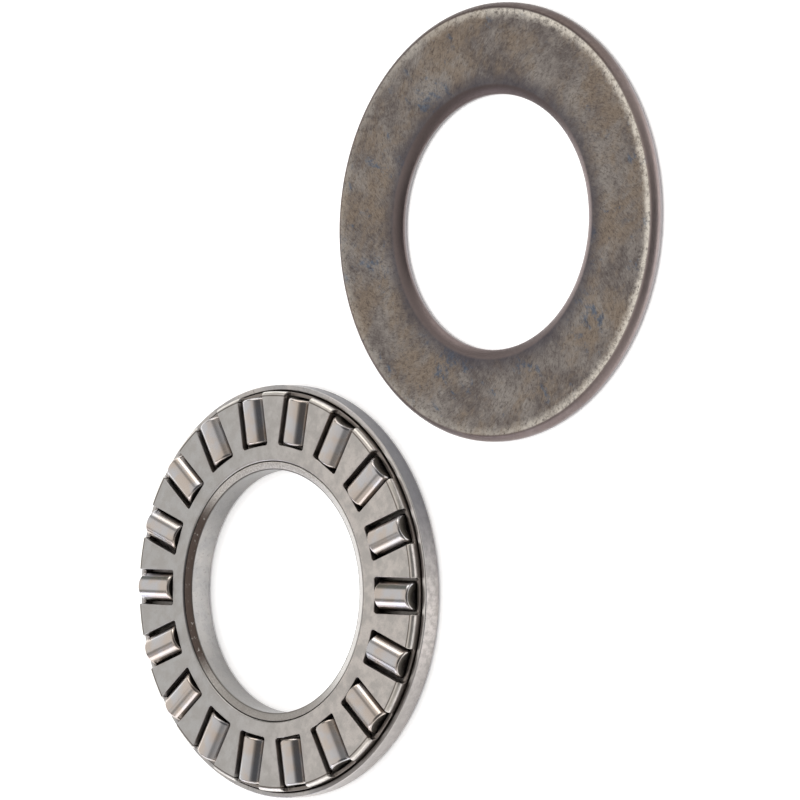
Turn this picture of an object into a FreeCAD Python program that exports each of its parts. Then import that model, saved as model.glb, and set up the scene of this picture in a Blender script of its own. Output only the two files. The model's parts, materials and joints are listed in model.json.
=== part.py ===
import FreeCAD, Part
import math
import os

from FreeCAD import Vector

# Thrust roller bearing, laid out flat on its seating faces as a kit of two units:
# the flanged race with its cage and rollers, and beside it the loose cover washer,
# ground side down. Millimetres, +Z up along the bearing's axis. The origin is the
# centre of the race on its seating face. The washer's centre is on +X.

# ---- race: a ring with a raised inner lip and a low outer shoulder
RACE_OD = 60.0
RACE_BORE = 35.3
RACE_EDGE_ROUND = 0.7          # rounded back edges at the bore and the outside
RACEWAY_HEIGHT = 0.85          # floor of the channel the rollers run in
SHOULDER_HEIGHT = 3.0          # top of the low shoulder outside the cage
SHOULDER_WIDTH = 0.75
SHOULDER_CHAMFER = 0.2
LIP_OD = 37.66                 # the cage is piloted on the lip
LIP_HEIGHT = 4.45              # top of the lip beside the cage
LIP_INNER_HEIGHT = 4.0         # its top slopes down towards the bore
LIP_BREAK = 0.12               # broken edges of the lip
CHANNEL_FILLET = 0.25

# ---- cage shell: pressed sheet, an upside-down channel with a window for each roller
SHEET = 0.5
CAGE_BORE = 37.86
CAGE_OD = 58.12
CAGE_FACE_HEIGHT = 4.55
CAGE_SKIRT_HEIGHT = 1.2        # lower edge of both skirts
CAGE_INNER_BEND = 0.3
CAGE_OUTER_BEND = 0.66
CRIMP_REACH = 0.32             # inner skirt's turned edge that holds the retainer
WINDOW_WIDTH = 5.2
WINDOW_INNER_R = 21.26
WINDOW_SILL_HEIGHT = 3.3       # how far a window runs down the outer skirt
WINDOW_CORNER = 0.45
COLLAR_THICKNESS = 0.4         # turned-down edge round a window, which guides the roller
COLLAR_FOOT_HEIGHT = 3.45

# ---- cage retainer: a flat comb ring that stops the rollers dropping out below
RETAINER_LOWER_FACE = 1.55
RETAINER_THICKNESS = 0.5
RETAINER_SLOT_WIDTH = 4.16     # narrower than a roller, below its axis
RETAINER_SLOT_INNER_R = 21.3

# ---- rollers
ROLLER_COUNT = 18
ROLLER_DIAMETER = 4.4
ROLLER_LENGTH = 6.7
ROLLER_INNER_END_R = 21.6
ROLLER_END_ROUND = 0.42
ROLLER_PHASE = 7.77            # degrees from +X to the first roller
RUNNING_GAP = 0.02             # film between a roller and the raceway

# ---- cover washer: flat ring with soft, rolled edges on its back
WASHER_OD = 61.3
WASHER_BORE = 35.7
WASHER_THICKNESS = 1.8
WASHER_GROUND_CHAMFER = 0.3    # edges of the ground side
WASHER_LAND_TOP = 0.9          # top of the cylindrical land at both edges
WASHER_OUTER_ROLL = 0.8        # radial reach of the rolled outer edge
WASHER_INNER_ROLL = 1.45       # radial reach of the rolled inner edge
WASHER_OFFSET = 66.4           # from the race's axis to the washer's axis

PART_FOLDER = "parts"
ORIGIN = Vector(0, 0, 0)
Z_AXIS = Vector(0, 0, 1)


def closed_face(corners, place):
    """Flat face through the corners, which place() puts in space from 2 coordinates.

    A corner with a third item is reached by an arc through the point that it gives.
    """
    edges = []
    for index, corner in enumerate(corners):
        start = place(*corners[index - 1][:2])
        end = place(*corner[:2])
        if len(corner) == 3:
            edges.append(Part.Arc(start, place(*corner[2]), end).toShape())
        else:
            edges.append(Part.LineSegment(start, end).toShape())
    return Part.Face(Part.Wire(edges))


def turned(corners):
    """Ring whose section has these (radius, height) corners."""
    section = closed_face(corners, lambda radius, height: Vector(radius, 0, height))
    return section.revolve(ORIGIN, Z_AXIS, 360)


def round_mid(centre, radius, angle):
    """Middle point of a round corner, at the given angle about its centre."""
    turn = math.radians(angle)
    return (centre[0] + radius * math.cos(turn), centre[1] + radius * math.sin(turn))


def make_race():
    outer = RACE_OD / 2
    bore = RACE_BORE / 2
    lip = LIP_OD / 2
    edge = RACE_EDGE_ROUND
    wall = outer - SHOULDER_WIDTH
    fillet = CHANNEL_FILLET
    return turned([
        (bore + edge, 0, round_mid((bore + edge, edge), edge, 225)),
        (outer - edge, 0),
        (outer, edge, round_mid((outer - edge, edge), edge, -45)),
        (outer, SHOULDER_HEIGHT - SHOULDER_CHAMFER),
        (outer - SHOULDER_CHAMFER, SHOULDER_HEIGHT),
        (wall + LIP_BREAK, SHOULDER_HEIGHT),
        (wall, SHOULDER_HEIGHT - LIP_BREAK),
        (wall, RACEWAY_HEIGHT + fillet),
        (wall - fillet, RACEWAY_HEIGHT,
         round_mid((wall - fillet, RACEWAY_HEIGHT + fillet), fillet, -45)),
        (lip + fillet, RACEWAY_HEIGHT),
        (lip, RACEWAY_HEIGHT + fillet,
         round_mid((lip + fillet, RACEWAY_HEIGHT + fillet), fillet, 225)),
        (lip, LIP_HEIGHT - LIP_BREAK),
        (lip - LIP_BREAK, LIP_HEIGHT),
        (bore + LIP_BREAK, LIP_INNER_HEIGHT),
        (bore, LIP_INNER_HEIGHT - LIP_BREAK),
        (bore, edge),
    ])


def make_window():
    """Tool for one window along +X, with round corners at its inner end and at its sill."""
    half = WINDOW_WIDTH / 2
    corner = WINDOW_CORNER
    inner = WINDOW_INNER_R
    outer = CAGE_OD / 2 + SHEET
    sill = WINDOW_SILL_HEIGHT
    top = CAGE_FACE_HEIGHT + SHEET
    plan = closed_face([
        (outer, -half),
        (inner + corner, -half),
        (inner, -half + corner, round_mid((inner + corner, -half + corner), corner, 225)),
        (inner, half - corner),
        (inner + corner, half, round_mid((inner + corner, half - corner), corner, 135)),
        (outer, half),
    ], lambda x, y: Vector(x, y, sill))
    front = closed_face([
        (-half, top),
        (-half, sill + corner),
        (-half + corner, sill, round_mid((-half + corner, sill + corner), corner, 225)),
        (half - corner, sill),
        (half, sill + corner, round_mid((half - corner, sill + corner), corner, -45)),
        (half, top),
    ], lambda y, z: Vector(0, y, z))
    from_above = plan.extrude(Vector(0, 0, top - sill))
    from_outside = front.extrude(Vector(outer, 0, 0))
    return from_above.common(from_outside)


def make_collar():
    """Turned-down edge round one window along +X, still filled where the window comes."""
    inner = WINDOW_INNER_R - COLLAR_THICKNESS
    half = WINDOW_WIDTH / 2 + COLLAR_THICKNESS
    top = CAGE_FACE_HEIGHT - SHEET / 2
    collar = Part.makeBox(CAGE_OD / 2 - SHEET - inner, 2 * half, top - COLLAR_FOOT_HEIGHT)
    collar.translate(Vector(inner, -half, COLLAR_FOOT_HEIGHT))
    return collar


def around(shape, index):
    """A copy of a shape made along +X, turned to the roller place with this index."""
    copy = shape.copy()
    copy.rotate(ORIGIN, Z_AXIS, ROLLER_PHASE + index * 360 / ROLLER_COUNT)
    return copy


def make_cage_shell():
    outer = CAGE_OD / 2
    bore = CAGE_BORE / 2
    top = CAGE_FACE_HEIGHT
    low = CAGE_SKIRT_HEIGHT
    outer_bend = CAGE_OUTER_BEND
    inner_bend = CAGE_INNER_BEND
    outer_centre = (outer - outer_bend, top - outer_bend)
    inner_centre = (bore + inner_bend, top - inner_bend)
    channel = turned([
        (bore, low),
        (bore + SHEET + CRIMP_REACH, low),
        (bore + SHEET + CRIMP_REACH, RETAINER_LOWER_FACE),
        (bore + SHEET, RETAINER_LOWER_FACE),
        (bore + SHEET, top - SHEET),
        (outer - outer_bend, top - SHEET),
        (outer - SHEET, top - outer_bend, round_mid(outer_centre, outer_bend - SHEET, 45)),
        (outer - SHEET, low),
        (outer, low),
        (outer, top - outer_bend),
        (outer - outer_bend, top, round_mid(outer_centre, outer_bend, 45)),
        (bore + inner_bend, top),
        (bore, top - inner_bend, round_mid(inner_centre, inner_bend, 135)),
    ])
    collar = make_collar()
    window = make_window()
    places = range(ROLLER_COUNT)
    collared = channel.fuse([around(collar, index) for index in places])
    return collared.cut([around(window, index) for index in places]).removeSplitter()


def make_cage_retainer():
    inner = CAGE_BORE / 2 + SHEET
    outer = CAGE_OD / 2 - SHEET
    low = RETAINER_LOWER_FACE
    high = low + RETAINER_THICKNESS
    ring = turned([(inner, low), (outer, low), (outer, high), (inner, high)])
    slot = Part.makeBox(outer, RETAINER_SLOT_WIDTH, 3 * RETAINER_THICKNESS)
    slot.translate(Vector(RETAINER_SLOT_INNER_R, -RETAINER_SLOT_WIDTH / 2,
                          low - RETAINER_THICKNESS))
    return ring.cut([around(slot, index) for index in range(ROLLER_COUNT)])


def make_roller():
    """One roller along +X, standing on the raceway, with rounded edges at both ends."""
    radius = ROLLER_DIAMETER / 2
    edge = ROLLER_END_ROUND
    start = ROLLER_INNER_END_R
    end = start + ROLLER_LENGTH
    axis_height = RACEWAY_HEIGHT + RUNNING_GAP + radius
    half_section = closed_face([
        (start, 0),
        (start, radius - edge),
        (start + edge, radius, round_mid((start + edge, radius - edge), edge, 135)),
        (end - edge, radius),
        (end, radius - edge, round_mid((end - edge, radius - edge), edge, 45)),
        (end, 0),
    ], lambda along, away: Vector(along, 0, axis_height + away))
    return half_section.revolve(Vector(start, 0, axis_height), Vector(1, 0, 0), 360)


def make_washer():
    outer = WASHER_OD / 2
    bore = WASHER_BORE / 2
    top = WASHER_THICKNESS
    land = WASHER_LAND_TOP
    chamfer = WASHER_GROUND_CHAMFER
    # a rolled edge passes halfway between its chord and a full quarter round
    bulge = (math.sin(math.radians(45)) + 0.5) / 2
    outer_flat = outer - WASHER_OUTER_ROLL
    inner_flat = bore + WASHER_INNER_ROLL
    roll_height = land + (top - land) * bulge
    outer_mid = (outer_flat + WASHER_OUTER_ROLL * bulge, roll_height)
    inner_mid = (inner_flat - WASHER_INNER_ROLL * bulge, roll_height)
    ring = turned([
        (bore + chamfer, 0),
        (outer - chamfer, 0),
        (outer, chamfer),
        (outer, land),
        (outer_flat, top, outer_mid),
        (inner_flat, top),
        (bore, land, inner_mid),
        (bore, chamfer),
    ])
    ring.translate(Vector(WASHER_OFFSET, 0, 0))
    return ring


def write(name, shape):
    """Check that the shape is one valid solid and write it as its own node."""
    solids = shape.Solids
    assert len(solids) == 1 and shape.isValid(), name
    solids[0].exportStep(os.path.join(PART_FOLDER, name + ".step"))
    print(name, "volume", round(solids[0].Volume, 2))


os.makedirs(PART_FOLDER, exist_ok=True)
write("race", make_race())
write("cage_shell", make_cage_shell())
write("cage_retainer", make_cage_retainer())
roller = make_roller()
for place in range(ROLLER_COUNT):
    write("roller_%02d" % (place + 1), around(roller, place))
write("washer", make_washer())
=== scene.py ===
import json
import math

import bmesh
import bpy
from mathutils import Matrix, Vector


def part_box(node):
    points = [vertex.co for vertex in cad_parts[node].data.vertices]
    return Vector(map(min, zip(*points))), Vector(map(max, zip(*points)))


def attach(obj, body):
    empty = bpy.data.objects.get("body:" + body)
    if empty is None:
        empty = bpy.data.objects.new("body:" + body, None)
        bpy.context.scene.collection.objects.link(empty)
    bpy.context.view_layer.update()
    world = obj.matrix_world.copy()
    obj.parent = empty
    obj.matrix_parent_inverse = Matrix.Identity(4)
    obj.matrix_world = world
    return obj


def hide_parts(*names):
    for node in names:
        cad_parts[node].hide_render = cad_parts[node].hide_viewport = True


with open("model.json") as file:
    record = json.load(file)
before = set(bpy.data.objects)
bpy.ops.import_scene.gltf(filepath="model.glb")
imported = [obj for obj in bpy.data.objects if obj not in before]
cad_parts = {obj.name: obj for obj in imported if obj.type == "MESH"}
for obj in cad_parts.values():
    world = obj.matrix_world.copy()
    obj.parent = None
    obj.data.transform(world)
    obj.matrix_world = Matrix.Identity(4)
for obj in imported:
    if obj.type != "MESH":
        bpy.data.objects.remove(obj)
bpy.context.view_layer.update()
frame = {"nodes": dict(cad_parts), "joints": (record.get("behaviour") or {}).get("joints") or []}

MM = 0.001
X_AXIS = Vector((1, 0, 0))
Z_AXIS = Vector((0, 0, 1))

VIEW_AZIMUTH = math.radians(-53.427)
VIEW_ELEVATION = math.radians(45.18)
VIEW_ROLL = math.radians(88.646)
VIEW_DISTANCE = 0.63484
TARGET_SHARE = 0.5287          # of the way from the race to the washer
LENS = 200.4
SENSOR = 36
NEAREST_SEEN = 0.01
IMAGE_RIGHT = Vector((math.cos(VIEW_AZIMUTH), math.sin(VIEW_AZIMUTH), 0))
IMAGE_UP = Z_AXIS.cross(IMAGE_RIGHT)
FLOOR_HALF = 3.0
FLOOR_DROP = 0.02 * MM


# ---------------------------------------------------------------- places read from the frame

def middle(node):
    low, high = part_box(node)
    return (low + high) / 2


def half_width(node):
    low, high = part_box(node)
    return (high.x - low.x) / 2 / MM


def top(node):
    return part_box(node)[1].z / MM


def bottom(node):
    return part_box(node)[0].z / MM


ROLLERS = sorted(name for name in frame["nodes"] if name.startswith("roller_"))
AXES = {joint["child"]: joint for joint in frame["joints"]}
SECTOR = 2 * math.pi / len(ROLLERS)
RACE_CENTRE = Vector((middle("race").x, middle("race").y, 0))
WASHER_CENTRE = Vector((middle("washer").x, middle("washer").y, 0))

# ---------------------------------------------------------------- sections, in millimetres
# What the frame's boxes don't give repeats the driving dimensions of the part's own source.

RACE_OUTER = half_width("race")
RACE_BORE = 17.65
RACE_EDGE = 0.7
RACEWAY_HEIGHT = 0.85
SHOULDER_HEIGHT = 3.0
SHOULDER_WIDTH = 0.75
SHOULDER_EDGE = 0.2
LIP_OUTER = 18.83
LIP_TOP = top("race")
LIP_INNER_TOP = 4.0
LIP_EDGE = 0.13
CHANNEL_FILLET = 0.25

CAGE_OUTER = half_width("cage_shell")
CAGE_BORE = 18.93
CAGE_TOP = top("cage_shell")
CAGE_FOOT = bottom("cage_shell")
SHEET = 0.5
OUTER_BEND = 0.66
INNER_BEND = 0.3
CRIMP_REACH = 0.32
CRIMP_TOP = bottom("cage_retainer")
CRIMP_STEP = 0.1               # how far the row above the crimp stands over it
WINDOW_HALF = 2.6
WINDOW_INNER = 21.26
WINDOW_SILL = 3.3
WINDOW_CORNER = 0.45
COLLAR = 0.4                   # turned-down edge round each window
COLLAR_FOOT = 3.45
SHEET_EDGE = 0.11              # broken edge round each window

ROLLER_RADIUS = (top(ROLLERS[0]) - bottom(ROLLERS[0])) / 2
ROLLER_LENGTH = 6.7
ROLLER_END_ROUND = 0.42
DISH_DEPTH = 0.07              # shallow turned dish in both ends of a roller
DISH_RIM = 1.05
DISH_FLOOR = 0.8               # radius of the dish's floor, as a share of its rim

WASHER_OUTER = half_width("washer")
WASHER_BORE = 17.85
WASHER_TOP = top("washer")
WASHER_LAND = 0.9
WASHER_CHAMFER = 0.3
WASHER_SIDE_ROUND = 0.1        # where a chamfer meets the land
WASHER_FOOT_ROUND = 0.05       # where a chamfer meets the ground side
WASHER_OUTER_ROLL = 0.8
WASHER_INNER_ROLL = 1.45
WASHER_FLAT_OUTER = WASHER_OUTER - WASHER_OUTER_ROLL
WASHER_FLAT_INNER = WASHER_BORE + WASHER_INNER_ROLL
ROLL_FULLNESS = 0.32

# ---------------------------------------------------------------- fineness of the meshes

RING_STEPS = 360
ROLLER_STEPS = 96
RACE_ROUND_STEPS = 6
WASHER_ROUND_STEPS = 3
WASHER_ROLL_STEPS = 16
ROLLER_ROUND_STEPS = 8
INNER_BEND_STEPS = 6
OUTER_BEND_STEPS = 9
EDGE_STEPS = 3
CORNER_STEPS = 5
WINDOW_COLUMNS = 7             # columns of points from side to side of a window
BAR_SHARES = [1, 0.55, 0.2]    # columns on a bar, as shares of the way to its middle line
WINDOW_ROWS = [1.6, 3.4, 5.2, 6.74]     # rows along a window, from its inner end
BESIDE_WINDOW = 0.55           # rows that keep the sheet even past a window's ends
BESIDE_FLAT = 0.07             # rows just inside the flat's two edges
BELOW_BEND = 0.15              # row just under the inner bend
SILL_ROW = 1.0                 # row below a window's sill
FOOT_ROW = 0.2                 # row above the outer skirt's foot
SHARP_ANGLE = math.radians(50)
WELD = 1e-7                    # metres
CAGE_WELD = 1e-6
FACE, BARE, INSIDE = 0, 1, 2   # the cage's materials: pressed face, cut edges, inner side


# ---------------------------------------------------------------- mesh tools

def fillet(corner, before, after, radius, steps):
    """Points of a round corner between the lines to 2 neighbours."""
    to_before = (before - corner).normalized()
    to_after = (after - corner).normalized()
    half = to_before.angle(to_after) / 2
    centre = corner + (to_before + to_after).normalized() * radius / math.sin(half)
    spokes = [corner + way * radius / math.tan(half) - centre for way in (to_before, to_after)]
    first, last = (math.atan2(spoke.y, spoke.x) for spoke in spokes)
    sweep = (last - first + math.pi) % (2 * math.pi) - math.pi
    turns = [first + sweep * step / steps for step in range(steps + 1)]
    return [centre + radius * Vector((math.cos(turn), math.sin(turn))) for turn in turns]


def conic(start, corner, end, fullness, steps):
    """Points of a rolled edge that leaves both flats smoothly, fuller with more weight."""
    points = []
    for step in range(steps + 1):
        t = step / steps
        shares = ((1 - t) ** 2, 2 * fullness * t * (1 - t), t ** 2)
        total = sum(shares)
        points.append((start * shares[0] + corner * shares[1] + end * shares[2]) / total)
    return points


def rounded_run(start, corners, end, steps):
    """Outline from start to end, without either, by (radius, height, fillet radius) corners."""
    flat = [Vector(corner[:2]) for corner in (start, *corners, end)]
    points = []
    for before, here, after, corner in zip(flat, flat[1:], flat[2:], corners):
        points += fillet(here, before, after, corner[2], steps)
    return points


def rounded(corners, steps):
    """Closed section through (radius, height, fillet radius) corners."""
    return rounded_run(corners[-1], corners, corners[0], steps)


def finished_mesh(name, work):
    """Mesh with its faces turned outwards, smooth but for its sharp edges."""
    bmesh.ops.recalc_face_normals(work, faces=work.faces)
    for edge in work.edges:
        if len(edge.link_faces) == 2 and edge.calc_face_angle() > SHARP_ANGLE:
            edge.smooth = False
    mesh = bpy.data.meshes.new(name)
    work.to_mesh(mesh)
    work.free()
    mesh.shade_smooth()
    return mesh


def revolved(name, section, steps, closed=True):
    """Ring about local Z from (radius, height) points; an open section ends on the axis."""
    work = bmesh.new()
    rings = []
    for step in range(steps):
        turn = 2 * math.pi * step / steps
        spoke = Vector((math.cos(turn), math.sin(turn), 0))
        rings.append([work.verts.new((spoke * p.x + Z_AXIS * p.y) * MM) for p in section])
    last = len(section) if closed else len(section) - 1
    for step in range(steps):
        here, there = rings[step], rings[(step + 1) % steps]
        for index in range(last):
            after = (index + 1) % len(section)
            work.faces.new((here[index], there[index], there[after], here[after]))
    bmesh.ops.remove_doubles(work, verts=work.verts, dist=WELD)
    return finished_mesh(name, work)


def piece(name, mesh, place, body, materials, stands_for):
    """Put an object in place, riding on its body and standing for its CAD node."""
    made = bpy.data.objects.new(name, mesh)
    bpy.context.scene.collection.objects.link(made)
    made.matrix_world = place
    mesh.materials.clear()
    for material in materials:
        mesh.materials.append(material)
    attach(made, body)
    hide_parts(stands_for)
    flats = made.modifiers.new("level_flats", "WEIGHTED_NORMAL")
    flats.keep_sharp = True


# ---------------------------------------------------------------- node tools

class Nodes:
    """Short way to add nodes to a tree and to link them."""

    def __init__(self, tree):
        self.tree = tree
        tree.nodes.clear()

    def add(self, kind, inputs, **settings):
        node = self.tree.nodes.new(kind)
        for key, value in settings.items():
            setattr(node, key, value)
        for key, value in inputs.items():
            self.feed(node.inputs[key], value)
        return node

    def feed(self, socket, value):
        if isinstance(value, bpy.types.NodeSocket):
            self.tree.links.new(value, socket)
        elif socket.type == "RGBA":
            socket.default_value = (*value, 1)
        else:
            socket.default_value = value

    def math(self, operation, first, second=0.0):
        inputs = {0: first, 1: second}
        return self.add("ShaderNodeMath", inputs, operation=operation).outputs[0]

    def total(self, *values):
        result = values[0]
        for value in values[1:]:
            result = self.math("ADD", result, value)
        return result

    def times(self, first, second):
        return self.math("MULTIPLY", first, second)

    def dot(self, vector, direction):
        inputs = {0: vector, 1: tuple(direction)}
        node = self.add("ShaderNodeVectorMath", inputs, operation="DOT_PRODUCT")
        return node.outputs["Value"]

    def split(self, vector):
        return self.add("ShaderNodeSeparateXYZ", {"Vector": vector}).outputs

    def join(self, x, y, z):
        return self.add("ShaderNodeCombineXYZ", {"X": x, "Y": y, "Z": z}).outputs[0]

    def stretched(self, vector, x, y, z):
        inputs = {0: vector, 1: (x, y, z)}
        return self.add("ShaderNodeVectorMath", inputs, operation="MULTIPLY").outputs[0]

    def noise(self, vector, scale, detail=4.0, roughness=0.55, distortion=0.0):
        inputs = {"Vector": vector, "Scale": scale, "Detail": detail,
                  "Roughness": roughness, "Distortion": distortion}
        return self.add("ShaderNodeTexNoise", inputs).outputs["Fac"]

    def span(self, value, low, high, first=0.0, last=1.0):
        """Smooth step from first to last while value goes from low to high."""
        inputs = {"Value": value, "From Min": low, "From Max": high,
                  "To Min": first, "To Max": last}
        node = self.add("ShaderNodeMapRange", inputs, interpolation_type="SMOOTHSTEP")
        return node.outputs["Result"]

    def between(self, value, start, rise, fall, end):
        """1 while value is between rise and fall, fading out towards start and end."""
        return self.times(self.span(value, start, rise), self.span(value, end, fall))

    def mixed(self, share, first, second):
        node = self.add("ShaderNodeMix", {}, data_type="RGBA", blend_type="MIX")
        self.feed(node.inputs[0], share)
        self.feed(node.inputs[6], first)
        self.feed(node.inputs[7], second)
        return node.outputs[2]

    def bump(self, height, strength, distance, under=None):
        inputs = {"Height": height, "Strength": strength, "Distance": distance}
        if under is not None:
            inputs["Normal"] = under
        return self.add("ShaderNodeBump", inputs).outputs["Normal"]

    def place(self):
        """Position on the piece, in millimetres from its own centre."""
        spot = self.add("ShaderNodeTexCoord", {}).outputs["Object"]
        return self.stretched(spot, 1 / MM, 1 / MM, 1 / MM)

    def side(self, spot, direction):
        """Cosine between a point's direction from the axis and a level direction."""
        level = self.stretched(spot, 1, 1, 0)
        unit = self.add("ShaderNodeVectorMath", {0: level}, operation="NORMALIZE").outputs[0]
        return self.dot(unit, direction)

    def radius(self, spot):
        x, y = self.split(spot)[:2]
        return self.math("SQRT", self.total(self.times(x, x), self.times(y, y)))

    def swirled(self, spot, turn_per_mm):
        """The point, turned about the axis by an angle that grows with its radius."""
        inputs = {"Vector": spot, "Angle": self.times(self.radius(spot), turn_per_mm)}
        return self.add("ShaderNodeVectorRotate", inputs, rotation_type="Z_AXIS").outputs[0]

    def turning(self, spot, around, across):
        """Radius, height and coordinates for marks that are long round the axis, fine across."""
        x, y, z = self.split(spot)
        radius = self.radius(spot)
        down_the_side = self.times(z, 0.83)
        return radius, z, self.join(
            self.times(self.math("DIVIDE", x, radius), around),
            self.times(self.math("DIVIDE", y, radius), around),
            self.times(self.total(radius, down_the_side), across))


def new_material(name):
    material = bpy.data.materials.new(name)
    material.use_nodes = True
    return material, Nodes(material.node_tree)


def metal(nodes, colour, roughness, normal, anisotropic=0.0, metallic=1.0):
    inputs = {"Base Color": colour, "Metallic": metallic, "Roughness": roughness,
              "Normal": normal, "Anisotropic": anisotropic}
    shader = nodes.add("ShaderNodeBsdfPrincipled", inputs)
    nodes.add("ShaderNodeOutputMaterial", {"Surface": shader.outputs["BSDF"]})


# ---------------------------------------------------------------- materials

def race_rim_colour(nodes, colour, spot, radius, height):
    """The race's outside: slanting grind marks, painted dark reflection on one side and painted
    shade on another.
    """
    slant = nodes.noise(nodes.stretched(spot, 1.0, 0.45, 0.8), 1.3, 6.0, 0.7, 0.3)
    on_rim = nodes.times(nodes.span(radius, RACE_OUTER - 0.12, RACE_OUTER - 0.02),
                         nodes.span(height, SHOULDER_HEIGHT - 0.08, SHOULDER_HEIGHT - 0.25))
    # Painted reflection: the rim is dark blue-grey on its side towards X.
    painted_reflection_patch = nodes.times(on_rim, nodes.span(nodes.side(spot, X_AXIS), 0.55, 0.93))
    # Painted shade: the rim and shoulder are darker on the side towards IMAGE_RIGHT - IMAGE_UP.
    painted_side_shade = nodes.span(nodes.side(spot, IMAGE_RIGHT - IMAGE_UP), 1.15, 1.36, 0.0, 0.7)
    rosy = nodes.mixed(nodes.span(slant, 0.36, 0.64), (0.35, 0.325, 0.31), (0.57, 0.53, 0.51))
    colour = nodes.mixed(nodes.times(on_rim, 0.85), colour, rosy)
    colour = nodes.mixed(nodes.times(painted_reflection_patch, 0.9), colour, (0.125, 0.125, 0.137))
    return nodes.mixed(nodes.times(on_rim, painted_side_shade), colour, (0.33, 0.31, 0.30))


def race_shoulder_colour(nodes, colour, spot, radius, height):
    """Top of the low shoulder: a painted highlight on one side and painted shade on another."""
    inner_edge = RACE_OUTER - SHOULDER_WIDTH
    on_shoulder = nodes.times(nodes.span(radius, inner_edge - 0.2, inner_edge - 0.05),
                              nodes.span(height, SHOULDER_HEIGHT - 0.06, SHOULDER_HEIGHT - 0.01))
    # Painted highlight: paler on the side towards IMAGE_RIGHT.
    highlight_side = nodes.span(nodes.side(spot, IMAGE_RIGHT), 0.3, 0.8)
    # Painted shade: darker on the side towards IMAGE_RIGHT - IMAGE_UP.
    painted_side_shade = nodes.span(nodes.side(spot, IMAGE_RIGHT - IMAGE_UP), 1.15, 1.36, 0.0, 0.7)
    colour = nodes.mixed(nodes.times(on_shoulder, highlight_side), colour, (0.80, 0.77, 0.75))
    return nodes.mixed(nodes.times(on_shoulder, painted_side_shade), colour, (0.10, 0.088, 0.084))


def race_lip_colour(nodes, colour, spot, radius, height, on_lip, pits):
    """The lip's sloping top: pitted and pale, with a painted highlight on one side, brown scale
    marks kept to another side as painted shade, painted shade on a third side and a painted shade
    line along its inner edge.
    """
    lip_shade = nodes.mixed(nodes.span(pits, 0.38, 0.64), (0.56, 0.53, 0.50), (0.88, 0.86, 0.83))
    # Painted highlight: paler on the side towards IMAGE_RIGHT.
    highlight_side = nodes.span(nodes.side(spot, IMAGE_RIGHT), 0.3, 0.8)
    lip_shade = nodes.mixed(nodes.times(highlight_side, 0.85), lip_shade, (0.99, 0.98, 0.96))
    colour = nodes.mixed(on_lip, colour, lip_shade)
    # Painted shade: a thin dark line along the lip's inner edge.
    bore_edge_shade = nodes.times(nodes.span(radius, RACE_BORE + 0.24, RACE_BORE + 0.12),
                          nodes.span(height, LIP_INNER_TOP - 0.2, LIP_INNER_TOP - 0.1))
    colour = nodes.mixed(nodes.times(bore_edge_shade, 0.85), colour, (0.05, 0.045, 0.04))
    # Brown scale marks kept to the side away from IMAGE_RIGHT, as painted shade.
    scale_shade_side = nodes.span(nodes.side(spot, -IMAGE_RIGHT), 0.62, 0.86)
    scale_marks = nodes.span(nodes.noise(spot, 1.4, 5.0, 0.7), 0.25, 0.42)
    scale = nodes.times(nodes.times(on_lip, scale_shade_side), scale_marks)
    colour = nodes.mixed(scale, colour, (0.115, 0.09, 0.08))
    # Painted shade: darker on the side away from IMAGE_UP.
    low_side_shade = nodes.span(nodes.side(spot, -IMAGE_UP), 0.55, 0.9, 0.0, 0.68)
    return nodes.mixed(nodes.times(on_lip, low_side_shade), colour, (0.28, 0.265, 0.25))


def race_bore_colour(nodes, colour, spot, radius):
    """The bore's wall, darker on the two sides that the room lights least."""
    on_bore = nodes.span(radius, RACE_BORE + 0.1, RACE_BORE + 0.03)
    off_middle = nodes.math("ABSOLUTE", nodes.side(spot, -IMAGE_UP))
    # Painted shade on the bore's two dim sides.
    shaded_sides = nodes.span(off_middle, 0.2, 0.7, 0.30, 0.74)
    return nodes.mixed(nodes.times(on_bore, shaded_sides), colour, (0.20, 0.195, 0.19))


def race_steel():
    """Ground ring: fine turning lines and cloudy stains, with the marks of each of its faces and
    painted highlights and shade that change from side to side.
    """
    material, nodes = new_material("race_ground_steel")
    spot = nodes.place()
    radius, height, lines = nodes.turning(spot, 26.0, 9.0)
    clouds = nodes.noise(spot, 0.22, 5.0, 0.6)
    specks = nodes.noise(spot, 2.6, 6.0, 0.7)
    grind = nodes.noise(lines, 1.0, 5.0, 0.65)
    pits = nodes.noise(spot, 4.2, 6.0, 0.75)
    on_lip = nodes.times(nodes.span(height, LIP_INNER_TOP - 0.12, LIP_INNER_TOP + 0.02),
                         nodes.span(radius, LIP_OUTER + 0.3, LIP_OUTER + 0.1))
    colour = nodes.mixed(nodes.span(clouds, 0.35, 0.68), (0.43, 0.425, 0.43), (0.60, 0.575, 0.555))
    colour = nodes.mixed(nodes.span(specks, 0.52, 0.75), colour, (0.30, 0.28, 0.27))
    colour = race_rim_colour(nodes, colour, spot, radius, height)
    colour = race_shoulder_colour(nodes, colour, spot, radius, height)
    colour = race_lip_colour(nodes, colour, spot, radius, height, on_lip, pits)
    colour = race_bore_colour(nodes, colour, spot, radius)
    roughness = nodes.total(
        nodes.span(grind, 0.3, 0.7, 0.25, 0.38),
        nodes.span(clouds, 0.4, 0.7, 0.0, 0.08),
        nodes.times(on_lip, 0.06))
    normal = nodes.bump(grind, 0.28, 0.02 * MM)
    normal = nodes.bump(specks, 0.16, 0.03 * MM, normal)
    normal = nodes.bump(nodes.times(pits, on_lip), 0.3, 0.05 * MM, normal)
    metal(nodes, colour, roughness, normal, 0.35)
    return material


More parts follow.
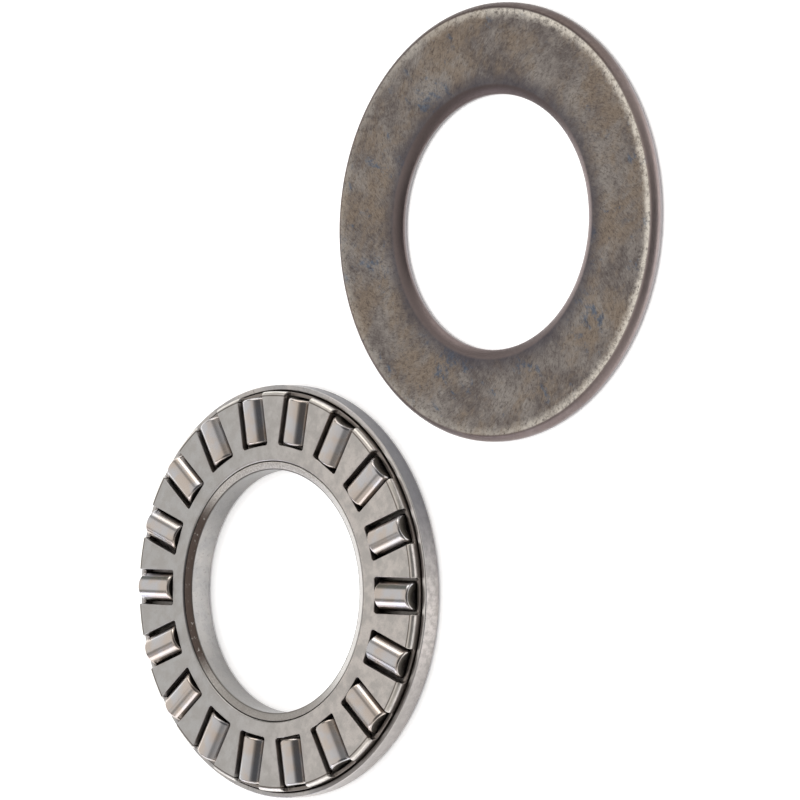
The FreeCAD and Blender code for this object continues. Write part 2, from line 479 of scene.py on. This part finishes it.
def cage_steel():
    """Pressed sheet: satin and faintly mottled, painted lighter and warmer on one side, with a
    painted shade line along the outer bend, a painted highlight on the bend and painted shade down
    the outer skirt.
    """
    material, nodes = new_material("cage_satin_steel")
    spot = nodes.place()
    radius, height, lines = nodes.turning(spot, 30.0, 4.0)
    clouds = nodes.noise(spot, 0.45, 4.0, 0.6)
    grain = nodes.noise(spot, 7.0, 6.0, 0.7)
    drawn = nodes.noise(lines, 1.0, 4.0, 0.6)
    # Painted light: lighter and warmer towards IMAGE_RIGHT.
    lit_warm_side = nodes.span(nodes.side(spot, IMAGE_RIGHT), -0.7, 0.9)
    colour = nodes.mixed(lit_warm_side, (0.51, 0.508, 0.506), (0.65, 0.61, 0.58))
    colour = nodes.mixed(nodes.span(clouds, 0.38, 0.62, 0.0, 0.7), colour, (0.44, 0.425, 0.41))
    colour = nodes.mixed(nodes.span(grain, 0.48, 0.72, 0.0, 0.5), colour, (0.30, 0.285, 0.27))
    bend_start = CAGE_OUTER - OUTER_BEND
    # Painted shade: a dark line where the flat meets the outer bend.
    crease_shade = nodes.between(radius, bend_start - 0.12, bend_start, bend_start + 0.05,
                           bend_start + 0.16)
    colour = nodes.mixed(nodes.times(crease_shade, 0.85), colour, (0.075, 0.055, 0.04))
    # Painted highlight: a pale band on the outer bend.
    bend_highlight = nodes.times(nodes.span(radius, bend_start + 0.16, bend_start + 0.24),
                         nodes.span(height, CAGE_TOP - 0.42, CAGE_TOP - 0.25))
    colour = nodes.mixed(nodes.times(bend_highlight, 0.6), colour, (0.95, 0.91, 0.84))
    # Painted shade: the outer skirt darker.
    skirt_shade = nodes.span(height, CAGE_TOP - 0.5, CAGE_TOP - OUTER_BEND - 0.3)
    colour = nodes.mixed(nodes.times(skirt_shade, 0.7), colour, (0.17, 0.14, 0.12))
    roughness = nodes.total(nodes.span(grain, 0.3, 0.7, 0.27, 0.37),
                            nodes.span(drawn, 0.35, 0.7, 0.0, 0.06))
    peel = nodes.noise(spot, 1.6, 2.0, 0.5)
    normal = nodes.bump(grain, 0.22, 0.012 * MM)
    normal = nodes.bump(drawn, 0.15, 0.015 * MM, normal)
    normal = nodes.bump(peel, 0.35, 0.03 * MM, normal)
    metal(nodes, colour, roughness, normal)
    return material


def sheared_steel():
    """Cut and turned-down edges of the sheet: pale and matt, with fine shear lines."""
    material, nodes = new_material("cage_bare_edge")
    spot = nodes.place()
    shear = nodes.noise(nodes.stretched(spot, 9.0, 9.0, 1.2), 1.0, 4.0, 0.6)
    colour = nodes.mixed(nodes.span(shear, 0.35, 0.65), (0.80, 0.78, 0.76), (0.93, 0.91, 0.88))
    roughness = nodes.span(shear, 0.3, 0.7, 0.36, 0.52)
    metal(nodes, colour, roughness, nodes.bump(shear, 0.3, 0.02 * MM), metallic=0.25)
    return material


def inside_steel():
    """Inner side of the cage and its comb ring: dull, oiled sheet."""
    material, nodes = new_material("cage_oiled_inside")
    spot = nodes.place()
    clouds = nodes.noise(spot, 0.6, 5.0, 0.6)
    grain = nodes.noise(spot, 6.0, 5.0, 0.7)
    colour = nodes.mixed(nodes.span(clouds, 0.3, 0.7), (0.46, 0.43, 0.41), (0.62, 0.59, 0.57))
    roughness = nodes.span(grain, 0.3, 0.7, 0.45, 0.6)
    metal(nodes, colour, roughness, nodes.bump(grain, 0.3, 0.015 * MM))
    return material


def roller_steel():
    """Mirror-ground roller along local X: hairlines round its axis, dull turned ends."""
    material, nodes = new_material("roller_ground_steel")
    x, y, z = nodes.split(nodes.place())
    spot = nodes.join(y, z, x)
    radius, along, lines = nodes.turning(spot, 2.5, 14.0)
    hairlines = nodes.noise(lines, 1.0, 5.0, 0.7)
    each = nodes.add("ShaderNodeObjectInfo", {}).outputs["Random"]
    shifted = nodes.join(nodes.math("ADD", y, nodes.times(each, 40.0)), z, x)
    film = nodes.noise(shifted, 0.28, 3.0, 0.5)
    half = ROLLER_LENGTH / 2
    end_face = ROLLER_RADIUS - ROLLER_END_ROUND
    on_end = nodes.times(nodes.span(nodes.math("ABSOLUTE", along), half - 0.15, half - 0.02),
                         nodes.span(radius, end_face + 0.2, end_face + 0.08))
    colour = nodes.mixed(nodes.span(film, 0.38, 0.62), (0.57, 0.57, 0.59), (0.60, 0.535, 0.485))
    colour = nodes.mixed(on_end, colour, (0.11, 0.10, 0.088))
    roughness = nodes.total(nodes.span(hairlines, 0.3, 0.7, 0.15, 0.22),
                            nodes.times(on_end, 0.25))
    metal(nodes, colour, roughness, nodes.bump(hairlines, 0.10, 0.006 * MM), 0.3)
    return material


def washer_stains(nodes, spot, strokes, tan, mottle):
    """Brown-grey scale with tan, blue and dark stains, crossed by curved strokes."""
    clouds = nodes.noise(spot, 0.15, 8.0, 0.74, 0.2)
    blue = nodes.noise(nodes.stretched(spot, 1.3, 0.9, 1.0), 0.17, 8.0, 0.78, 0.3)
    colour = nodes.mixed(nodes.span(clouds, 0.36, 0.64), (0.16, 0.139, 0.133), (0.345, 0.318, 0.296))
    colour = nodes.mixed(nodes.span(tan, 0.45, 0.62, 0.0, 0.80), colour, (0.30, 0.24, 0.185))
    colour = nodes.mixed(nodes.span(blue, 0.55, 0.65, 0.0, 0.78), colour, (0.10, 0.15, 0.225))
    colour = nodes.mixed(nodes.span(strokes, 0.50, 0.66, 0.0, 0.55), colour, (0.09, 0.073, 0.07))
    colour = nodes.mixed(nodes.span(strokes, 0.47, 0.34, 0.0, 0.32), colour, (0.46, 0.42, 0.38))
    return nodes.mixed(nodes.span(mottle, 0.51, 0.62, 0.0, 0.48), colour, (0.085, 0.068, 0.064))


def washer_worn_highlight(nodes, radius, mottle, ragged, light_facing):
    """Where the flat's outer edge is rubbed bright, with a ragged inner border, and carries a
    painted highlight that is strongest on the side facing the light.
    """
    reach = nodes.total(radius, nodes.times(ragged, 2.6))
    wear_and_highlight = nodes.times(nodes.span(reach, WASHER_FLAT_OUTER - 0.35, WASHER_FLAT_OUTER + 1.1),
                       nodes.span(radius, WASHER_FLAT_OUTER + 0.05, WASHER_FLAT_OUTER - 0.2))
    wear_and_highlight = nodes.times(wear_and_highlight, nodes.span(mottle, 0.66, 0.44, 0.1, 1.0))
    # Painted highlight: brightest on the side facing the light.
    return nodes.times(wear_and_highlight, nodes.span(light_facing, -0.7, 0.8, 0.25, 1.0))


def washer_roll_colour(nodes, colour, spot, radius, light_facing):
    """Both rolled edges: plain brown scale, with a painted highlight on the side facing the light
    and painted shade on the IMAGE_UP side.
    """
    outer_roll = nodes.span(radius, WASHER_FLAT_OUTER - 0.2, WASHER_FLAT_OUTER + 0.1)
    inner_roll = nodes.span(radius, WASHER_FLAT_INNER + 0.1, WASHER_FLAT_INNER - 0.35)
    # Painted highlight on one side of the rolls, painted shade on the IMAGE_UP side.
    lit_side = nodes.span(light_facing, 0.2, 0.95)
    shaded_up_side = nodes.span(nodes.side(spot, IMAGE_UP), 0.3, 0.9)
    shade = nodes.mixed(lit_side, (0.215, 0.175, 0.17), (0.38, 0.315, 0.31))
    shade = nodes.mixed(shaded_up_side, shade, (0.125, 0.098, 0.094))
    rolls = nodes.math("MAXIMUM", outer_roll, inner_roll)
    return nodes.mixed(nodes.times(rolls, 0.85), colour, shade)


def washer_steel():
    """Heat-treated ring: stained scale on its back, a rubbed edge with a painted highlight, painted
    light and shade on its rolls and a clean ground rim.
    """
    material, nodes = new_material("washer_oxide_steel")
    spot = nodes.place()
    radius, height, lines = nodes.turning(spot, 14.0, 3.0)
    curved_lines = nodes.turning(nodes.swirled(spot, 0.03), 75.0, 1.7)[2]
    strokes = nodes.noise(curved_lines, 1.0, 6.0, 0.72, 0.5)
    tan = nodes.noise(nodes.stretched(spot, 1.0, 1.4, 1.0), 0.10, 7.0, 0.72, 0.2)
    mottle = nodes.noise(spot, 1.9, 8.0, 0.78, 0.3)
    ragged = nodes.noise(spot, 0.8, 8.0, 0.75, 0.3)
    # Direction faced by the painted highlights on the edge and the rolls.
    light_facing = nodes.side(spot, IMAGE_RIGHT + IMAGE_UP * 0.3)
    wear_and_highlight = washer_worn_highlight(nodes, radius, mottle, ragged, light_facing)
    colour = washer_stains(nodes, spot, strokes, tan, mottle)
    shade_reach = nodes.total(radius, nodes.times(ragged, 3.0))
    inner_shade = nodes.span(shade_reach, WASHER_FLAT_INNER + 4.4, WASHER_FLAT_INNER + 1.0)
    colour = nodes.mixed(nodes.times(inner_shade, 0.8), colour, (0.095, 0.088, 0.105))
    # Wear and a painted highlight along the flat's outer edge.
    colour = nodes.mixed(nodes.times(wear_and_highlight, 0.95), colour, (0.86, 0.81, 0.73))
    colour = washer_roll_colour(nodes, colour, spot, radius, light_facing)
    ground = nodes.span(height, WASHER_LAND - 0.1, WASHER_LAND - 0.35)
    colour = nodes.mixed(nodes.times(ground, 0.7), colour, (0.42, 0.41, 0.42))
    roughness = nodes.total(nodes.span(mottle, 0.3, 0.7, 0.36, 0.50),
                            nodes.span(tan, 0.4, 0.7, 0.0, 0.08),
                            nodes.times(wear_and_highlight, -0.08))
    normal = nodes.bump(mottle, 0.35, 0.03 * MM)
    normal = nodes.bump(strokes, 0.22, 0.02 * MM, normal)
    normal = nodes.bump(nodes.noise(lines, 1.0, 3.0, 0.6), 0.15, 0.02 * MM, normal)
    metal(nodes, colour, roughness, normal)
    return material


# ---------------------------------------------------------------- pieces

def make_race():
    section = rounded([
        (RACE_BORE, 0, RACE_EDGE),
        (RACE_OUTER, 0, RACE_EDGE),
        (RACE_OUTER, SHOULDER_HEIGHT, SHOULDER_EDGE),
        (RACE_OUTER - SHOULDER_WIDTH, SHOULDER_HEIGHT, LIP_EDGE),
        (RACE_OUTER - SHOULDER_WIDTH, RACEWAY_HEIGHT, CHANNEL_FILLET),
        (LIP_OUTER, RACEWAY_HEIGHT, CHANNEL_FILLET),
        (LIP_OUTER, LIP_TOP, LIP_EDGE),
        (RACE_BORE, LIP_INNER_TOP, LIP_EDGE),
    ], RACE_ROUND_STEPS)
    mesh = revolved("race_ring", section, RING_STEPS)
    piece("race_ring", mesh, Matrix.Translation(RACE_CENTRE), "race",
          [race_steel()], "race")


def make_washer():
    section = rounded_run((WASHER_BORE, WASHER_LAND), [
        (WASHER_BORE, WASHER_CHAMFER, WASHER_SIDE_ROUND),
        (WASHER_BORE + WASHER_CHAMFER, 0, WASHER_FOOT_ROUND),
        (WASHER_OUTER - WASHER_CHAMFER, 0, WASHER_FOOT_ROUND),
        (WASHER_OUTER, WASHER_CHAMFER, WASHER_SIDE_ROUND),
    ], (WASHER_OUTER, WASHER_LAND), WASHER_ROUND_STEPS)
    section += conic(Vector((WASHER_OUTER, WASHER_LAND)), Vector((WASHER_OUTER, WASHER_TOP)),
                     Vector((WASHER_FLAT_OUTER, WASHER_TOP)), ROLL_FULLNESS, WASHER_ROLL_STEPS)
    section += conic(Vector((WASHER_FLAT_INNER, WASHER_TOP)), Vector((WASHER_BORE, WASHER_TOP)),
                     Vector((WASHER_BORE, WASHER_LAND)), ROLL_FULLNESS, WASHER_ROLL_STEPS)
    mesh = revolved("washer_ring", section, RING_STEPS)
    piece("washer_ring", mesh, Matrix.Translation(WASHER_CENTRE), "washer",
          [washer_steel()], "washer")


def heading(roller):
    """Angle about Z of a roller's own axis."""
    x, y = AXES[roller]["axis"][:2]
    return math.atan2(y, x)


def roller_mesh():
    """One roller along local X: rounded edges and a shallow turned dish in both ends."""
    half = ROLLER_LENGTH / 2
    low_half = [Vector((0, -half + DISH_DEPTH)), Vector((DISH_RIM * DISH_FLOOR, -half + DISH_DEPTH)),
                Vector((DISH_RIM, -half))]
    low_half += fillet(Vector((ROLLER_RADIUS, -half)), Vector((0, -half)),
                       Vector((ROLLER_RADIUS, 0)), ROLLER_END_ROUND, ROLLER_ROUND_STEPS)
    high_half = [Vector((point.x, -point.y)) for point in reversed(low_half)]
    mesh = revolved("roller", low_half + high_half, ROLLER_STEPS, closed=False)
    mesh.transform(Matrix.Rotation(math.pi / 2, 4, "Y"))
    return mesh


def make_rollers():
    mesh = roller_mesh()
    steel = roller_steel()
    for node in ROLLERS:
        place = Matrix.Translation(middle(node)) @ Matrix.Rotation(heading(node), 4, "Z")
        piece(node + "_ground", mesh, place, node, [steel], node)


def sheet_rows(margin):
    """The cage sheet's outer face from foot to foot, as (radius, height) points.

    The rows at both ends of the windows stand clear of them by the margin.
    """
    bend_low = CAGE_TOP - INNER_BEND
    flat_start = CAGE_BORE + INNER_BEND
    flat_end = CAGE_OUTER - OUTER_BEND
    inner_skirt = [CAGE_FOOT, CRIMP_TOP, CRIMP_TOP + CRIMP_STEP, (CRIMP_TOP + bend_low) / 2,
                   bend_low - BELOW_BEND]
    flat = [flat_start + BESIDE_FLAT, (flat_start + WINDOW_INNER) / 2,
            WINDOW_INNER - BESIDE_WINDOW, WINDOW_INNER - margin, WINDOW_INNER + WINDOW_CORNER,
            *(WINDOW_INNER + along for along in WINDOW_ROWS), flat_end - BESIDE_FLAT]
    outer_skirt = [WINDOW_SILL + WINDOW_CORNER, WINDOW_SILL - margin, WINDOW_SILL - BESIDE_WINDOW,
                   WINDOW_SILL - SILL_ROW, CAGE_FOOT + FOOT_ROW, CAGE_FOOT]
    rows = [Vector((CAGE_BORE, height)) for height in inner_skirt]
    rows += fillet(Vector((CAGE_BORE, CAGE_TOP)), Vector((CAGE_BORE, 0)),
                   Vector((CAGE_OUTER, CAGE_TOP)), INNER_BEND, INNER_BEND_STEPS)
    rows += [Vector((radius, CAGE_TOP)) for radius in flat]
    rows += fillet(Vector((CAGE_OUTER, CAGE_TOP)), Vector((0, CAGE_TOP)),
                   Vector((CAGE_OUTER, 0)), OUTER_BEND, OUTER_BEND_STEPS)
    rows += [Vector((CAGE_OUTER, height)) for height in outer_skirt]
    return rows


def under_sheet(row):
    """The point of the sheet's inner face that lies across from a point of the outer face."""
    centre = Vector((CAGE_OUTER - OUTER_BEND, CAGE_TOP - OUTER_BEND))
    if row.x > centre.x and row.y > centre.y:
        return centre + (row - centre) * (OUTER_BEND - SHEET) / OUTER_BEND
    if row.y >= CAGE_TOP - INNER_BEND:
        return Vector((max(row.x, CAGE_BORE + SHEET), CAGE_TOP - SHEET))
    if row.x > CAGE_BORE + INNER_BEND:
        return Vector((CAGE_OUTER - SHEET, row.y))
    if row.y <= CRIMP_TOP:
        return Vector((CAGE_BORE + SHEET + CRIMP_REACH, row.y))
    return Vector((CAGE_BORE + SHEET, row.y - CRIMP_STEP))


def sheet_layer(margin, depth, turn):
    """Grid of points over one window's sector, at a depth below the sheet's outer face.

    Only the flat part, where the windows have their collars, goes deeper than the sheet.
    """
    inside = WINDOW_HALF - WINDOW_CORNER
    half = WINDOW_HALF + margin
    gaps = WINDOW_COLUMNS - 3
    stations = [-half, *(inside * (2 * step / gaps - 1) for step in range(gaps + 1)), half]
    grid = []
    for row in sheet_rows(margin):
        radius = max(row.x, WINDOW_INNER - margin)
        window = [math.asin(station / radius) for station in stations]
        bar = [window[0] + (-SECTOR / 2 - window[0]) * share for share in BAR_SHARES]
        angles = [turn + angle for angle in bar + window + [-angle for angle in reversed(bar)]]
        flat = row.y >= CAGE_TOP and row.x < CAGE_OUTER - OUTER_BEND
        spot = row.lerp(under_sheet(row), depth / SHEET if flat else min(depth / SHEET, 1))
        grid.append([Vector((spot.x * math.cos(angle), spot.x * math.sin(angle), spot.y)) * MM
                     for angle in angles])
    return grid


def corner_arc(corner, start, end):
    """Points of a quarter round that cuts off a corner, from start to end."""
    centre = start + end - corner
    turns = [math.pi / 2 * step / CORNER_STEPS for step in range(CORNER_STEPS + 1)]
    return [centre - (end - corner) * math.cos(turn) - (start - corner) * math.sin(turn)
            for turn in turns]


def window_span():
    """First and last row, and first and last column, of a layer's window."""
    rows = sheet_rows(0)
    first_row = next(i for i, row in enumerate(rows) if row.x >= WINDOW_INNER)
    last_row = next(i for i, row in enumerate(rows) if i > first_row and row.y <= WINDOW_SILL)
    left = len(BAR_SHARES)
    return first_row, last_row, left, left + WINDOW_COLUMNS - 1


def window_arcs(grid):
    """The round corners of a layer's window in order round it, each as (corner, points)."""
    top_row, low_row, left, right = window_span()
    places = [((top_row, left), (top_row + 1, left), (top_row, left + 1)),
              ((top_row, right), (top_row, right - 1), (top_row + 1, right)),
              ((low_row, right), (low_row - 1, right), (low_row, right - 1)),
              ((low_row, left), (low_row, left + 1), (low_row - 1, left))]
    arcs = []
    for place in places:
        corner, start, end = (grid[row][column] for row, column in place)
        arcs.append((corner, corner_arc(corner, start, end)))
    return arcs


def window_outline(grid):
    """All points round a layer's window."""
    top_row, low_row, left, right = window_span()
    arcs = [points for corner, points in window_arcs(grid)]
    return (arcs[0] + [grid[top_row][j] for j in range(left + 2, right - 1)]
            + arcs[1] + [grid[i][right] for i in range(top_row + 2, low_row - 1)]
            + arcs[2] + [grid[low_row][j] for j in range(right - 2, left + 1, -1)]
            + arcs[3] + [grid[i][left] for i in range(low_row - 2, top_row + 1, -1)])


def add_face(work, finish, *points):
    """A face with its own points, which are welded to its neighbours' at the end."""
    face = work.faces.new([work.verts.new(point) for point in points])
    face.material_index = finish


def add_strip(work, finish, first, second):
    """Faces between 2 lines of points."""
    for k in range(len(first) - 1):
        add_face(work, finish, first[k], first[k + 1], second[k + 1], second[k])


def add_sheet_side(work, finish, grid):
    """One side of the sheet round one window, filled up to the window's round corners."""
    top_row, low_row, left, right = window_span()
    for i in range(len(grid) - 1):
        if top_row <= i < low_row:
            add_strip(work, finish, grid[i][:left + 1], grid[i + 1][:left + 1])
            add_strip(work, finish, grid[i][right:], grid[i + 1][right:])
        else:
            add_strip(work, finish, grid[i], grid[i + 1])
    for corner, points in window_arcs(grid):
        for start, end in zip(points, points[1:]):
            add_face(work, finish, corner, start, end)


def cage_mesh():
    """The pressed sheet: one window's sector, repeated round the ring and welded.

    Its layers follow a window's side down: the broken edge, the collar, and back up to the sheet.
    """
    work = bmesh.new()
    for index in range(len(ROLLERS)):
        turn = heading(ROLLERS[0]) + index * SECTOR
        layers = []
        for step in range(EDGE_STEPS + 1):
            bent = math.pi / 2 * step / EDGE_STEPS
            layers.append(sheet_layer(SHEET_EDGE * (1 - math.sin(bent)),
                                      SHEET_EDGE * (1 - math.cos(bent)), turn))
        layers += [sheet_layer(0, CAGE_TOP - COLLAR_FOOT, turn),
                   sheet_layer(COLLAR, CAGE_TOP - COLLAR_FOOT, turn),
                   sheet_layer(COLLAR, SHEET, turn)]
        outer, inner = layers[0], layers[-1]
        add_sheet_side(work, FACE, outer)
        add_sheet_side(work, INSIDE, inner)
        add_strip(work, BARE, outer[0], inner[0])
        add_strip(work, BARE, outer[-1], inner[-1])
        outlines = [window_outline(layer) for layer in layers]
        finishes = [BARE] * (EDGE_STEPS + 1) + [INSIDE] * 2
        for above, below, finish in zip(outlines, outlines[1:], finishes):
            add_strip(work, finish, above + above[:1], below + below[:1])
    bmesh.ops.remove_doubles(work, verts=work.verts, dist=CAGE_WELD)
    bmesh.ops.dissolve_degenerate(work, edges=work.edges, dist=WELD)
    return finished_mesh("cage_sheet", work)


def make_cage():
    finishes = [cage_steel(), sheared_steel(), inside_steel()]
    piece("cage_pressing", cage_mesh(), Matrix.Translation(RACE_CENTRE), "cage",
          finishes, "cage_shell")


def dress_retainer():
    """The comb ring under the sheet keeps its CAD shape and gets the sheet's inner finish."""
    node = frame["nodes"]["cage_retainer"]
    node.data.materials.clear()
    node.data.materials.append(bpy.data.materials["cage_oiled_inside"])


# ---------------------------------------------------------------- camera, floor and light

def make_camera():
    target = RACE_CENTRE.lerp(WASHER_CENTRE, TARGET_SHARE)
    back = IMAGE_RIGHT * math.cos(VIEW_ELEVATION) + Z_AXIS * math.sin(VIEW_ELEVATION)
    right = Z_AXIS.cross(back).normalized()
    up = back.cross(right)
    turned_right = right * math.cos(VIEW_ROLL) - up * math.sin(VIEW_ROLL)
    turned_up = right * math.sin(VIEW_ROLL) + up * math.cos(VIEW_ROLL)
    data = bpy.data.cameras.new("camera")
    data.lens = LENS
    data.sensor_width = SENSOR
    data.clip_start = NEAREST_SEEN
    camera = bpy.data.objects.new("camera", data)
    bpy.context.scene.collection.objects.link(camera)
    turn = Matrix((turned_right, turned_up, back)).transposed().to_4x4()
    camera.matrix_world = Matrix.Translation(target + back * VIEW_DISTANCE) @ turn
    bpy.context.scene.camera = camera


def make_floor():
    work = bmesh.new()
    bmesh.ops.create_grid(work, x_segments=8, y_segments=8, size=FLOOR_HALF)
    mesh = bpy.data.meshes.new("floor")
    work.to_mesh(mesh)
    work.free()
    floor = bpy.data.objects.new("floor", mesh)
    bpy.context.scene.collection.objects.link(floor)
    floor.location = (0, 0, -FLOOR_DROP)
    material, nodes = new_material("floor_paper")
    spot = nodes.place()
    shade = nodes.mixed(nodes.noise(spot, 0.02), (0.90, 0.90, 0.90), (0.93, 0.93, 0.93))
    shader = nodes.add("ShaderNodeBsdfPrincipled", {"Base Color": shade, "Roughness": 0.9,
                                                    "Specular IOR Level": 0.0,
                                                    "Emission Color": (1.0, 1.0, 1.0),
                                                    "Emission Strength": 0.2})
    nodes.add("ShaderNodeOutputMaterial", {"Surface": shader.outputs["BSDF"]})
    mesh.materials.append(material)


def make_world():
    """Studio room for the steel to reflect: pale, dark round the camera, dusky by the strips.

    Places are told by how far a direction goes across, up the picture or up from the floor. The
    wall away from the camera has a white foot, a green-grey end, a dark slot and a bright end.
    """
    world = bpy.data.worlds.new("studio")
    bpy.context.scene.world = world
    world.use_nodes = True
    nodes = Nodes(world.node_tree)
    way = nodes.add("ShaderNodeTexCoord", {}).outputs["Generated"]
    across = nodes.dot(way, IMAGE_RIGHT)
    upward = nodes.dot(way, IMAGE_UP)
    beside = nodes.math("ABSOLUTE", upward)
    height = nodes.dot(way, Z_AXIS)
    sky = nodes.mixed(nodes.span(across, 0.1, -0.9), (0.77, 0.735, 0.70), (0.86, 0.84, 0.815))
    white_foot = nodes.times(nodes.span(height, 0.14, 0.02), nodes.span(across, -0.2, -0.7))
    sky = nodes.mixed(white_foot, sky, (1.5, 1.5, 1.5))
    dusk = nodes.span(nodes.dot(way, IMAGE_RIGHT * 0.87 + Z_AXIS * 0.5), 0.52, 0.72)
    sky = nodes.mixed(nodes.times(dusk, 0.8), sky, (0.17, 0.165, 0.165))
    camera_side = nodes.span(nodes.dot(way, IMAGE_RIGHT * 0.75 + Z_AXIS * 0.66), 0.82, 0.93)
    sky = nodes.mixed(camera_side, sky, (0.10, 0.10, 0.105))
    band = nodes.between(beside, 0.50, 0.58, 0.68, 0.76)
    sky = nodes.mixed(nodes.times(band, 0.7), sky, (0.19, 0.185, 0.18))
    green_end = nodes.times(nodes.span(upward, 0.50, 0.60), nodes.span(across, -0.55, -0.68))
    sky = nodes.mixed(green_end, sky, (0.15, 0.16, 0.145))
    slot = nodes.between(upward, -0.56, -0.50, -0.36, -0.28)
    slot = nodes.times(slot, nodes.span(across, -0.45, -0.6, 0.0, 0.8))
    sky = nodes.mixed(slot, sky, (0.13, 0.125, 0.125))
    bright_end = nodes.times(nodes.span(upward, -0.52, -0.60), nodes.span(across, -0.5, -0.62))
    sky = nodes.mixed(bright_end, sky, (1.15, 1.12, 1.25))
    sky = nodes.mixed(nodes.span(height, 0.0, -0.1), sky, (0.9, 0.9, 0.9))
    shown = nodes.add("ShaderNodeLightPath", {}).outputs["Is Camera Ray"]
    sky = nodes.mixed(shown, sky, (0.95, 0.95, 0.95))
    light = nodes.add("ShaderNodeBackground", {"Color": sky, "Strength": 1.0})
    nodes.add("ShaderNodeOutputWorld", {"Surface": light.outputs["Background"]})


def softbox(name, direction, distance, size, power, colour):
    data = bpy.data.lights.new(name, "AREA")
    data.shape = "RECTANGLE"
    data.size, data.size_y = size
    data.energy = power
    data.color = colour
    light = bpy.data.objects.new(name, data)
    bpy.context.scene.collection.objects.link(light)
    middle_of_kit = RACE_CENTRE.lerp(WASHER_CENTRE, 0.5)
    way = direction.normalized()
    light.location = middle_of_kit + way * distance
    light.rotation_euler = way.to_track_quat("Z", "Y").to_euler()
    return light


def make_lights():
    """A strip on each side, seen in the rollers, and an overhead fill that the steel does not
    mirror.
    """
    up_strip = IMAGE_UP * 0.86 - IMAGE_RIGHT * 0.12 + Z_AXIS * 0.36
    softbox("strip_warm", up_strip, 1.0, (0.85, 0.26), 1.25, (1.0, 0.96, 0.92))
    down_strip = IMAGE_UP * -0.86 - IMAGE_RIGHT * 0.45 + Z_AXIS * 0.34
    softbox("strip_cool", down_strip, 1.0, (1.45, 0.28), 1.55, (0.94, 0.93, 1.0))
    fill = softbox("fill", Z_AXIS, 1.2, (1.6, 1.6), 17.0, (1.0, 1.0, 1.0))
    fill.visible_glossy = False


# ---------------------------------------------------------------- scene

make_race()
make_washer()
make_rollers()
make_cage()
dress_retainer()
make_camera()
make_floor()
make_world()
make_lights()

bpy.context.scene.view_settings.view_transform = "Standard"
bpy.context.scene.view_settings.look = "None"
